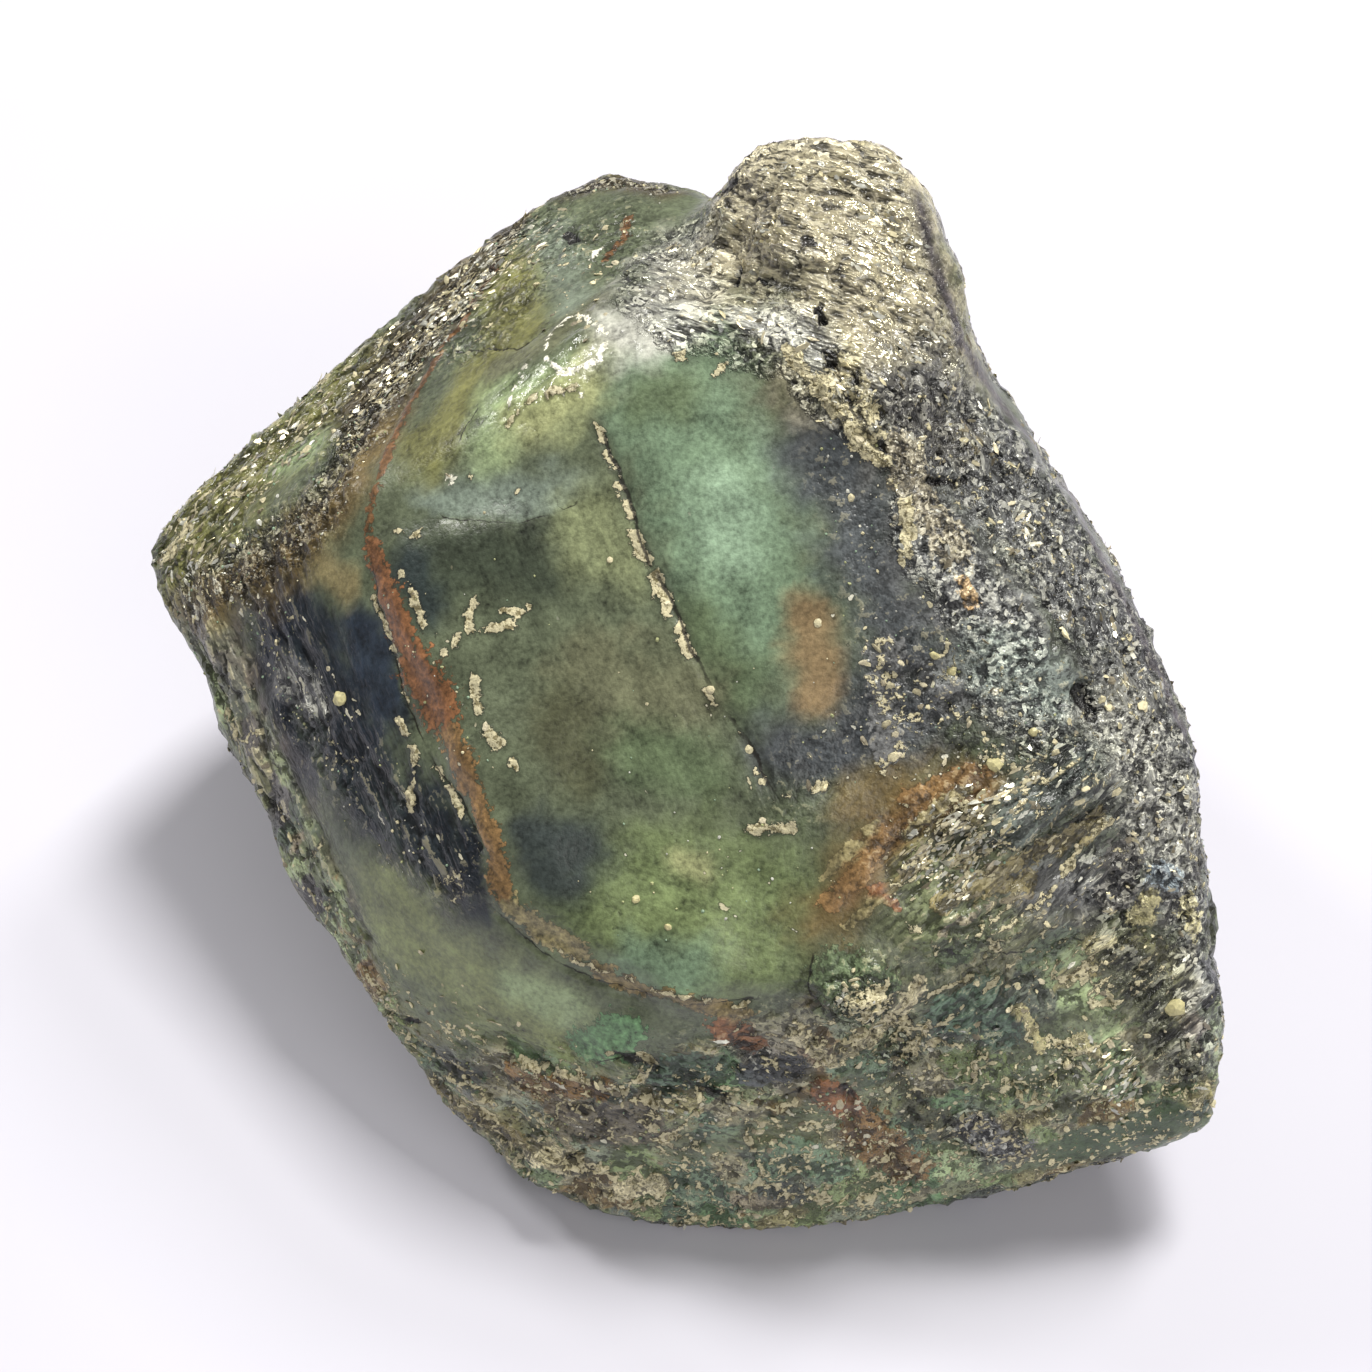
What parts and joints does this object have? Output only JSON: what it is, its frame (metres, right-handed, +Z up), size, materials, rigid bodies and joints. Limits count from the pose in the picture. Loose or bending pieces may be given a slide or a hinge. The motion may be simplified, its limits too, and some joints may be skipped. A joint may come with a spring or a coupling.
{
  "type": "raw emerald crystal",
  "caption": "Raw emerald: a worn block of milky green crystal with a knob and a rind of rough mica schist, resting on its broken base.",
  "frame": {"origin": "middle of the footprint's bounding box, on the surface that the stone rests on", "axes": "+Z up, +X to the right along the longest side, +Y away from the broad worn face"},
  "size_m": [0.0565, 0.0512, 0.0428],
  "materials": {
    "emerald": "waxy, half-polished green stone, with rough glinting schist in places"
  },
  "bodies": {
    "root": {"emerald": "emerald"}
  },
  "joints": []
}
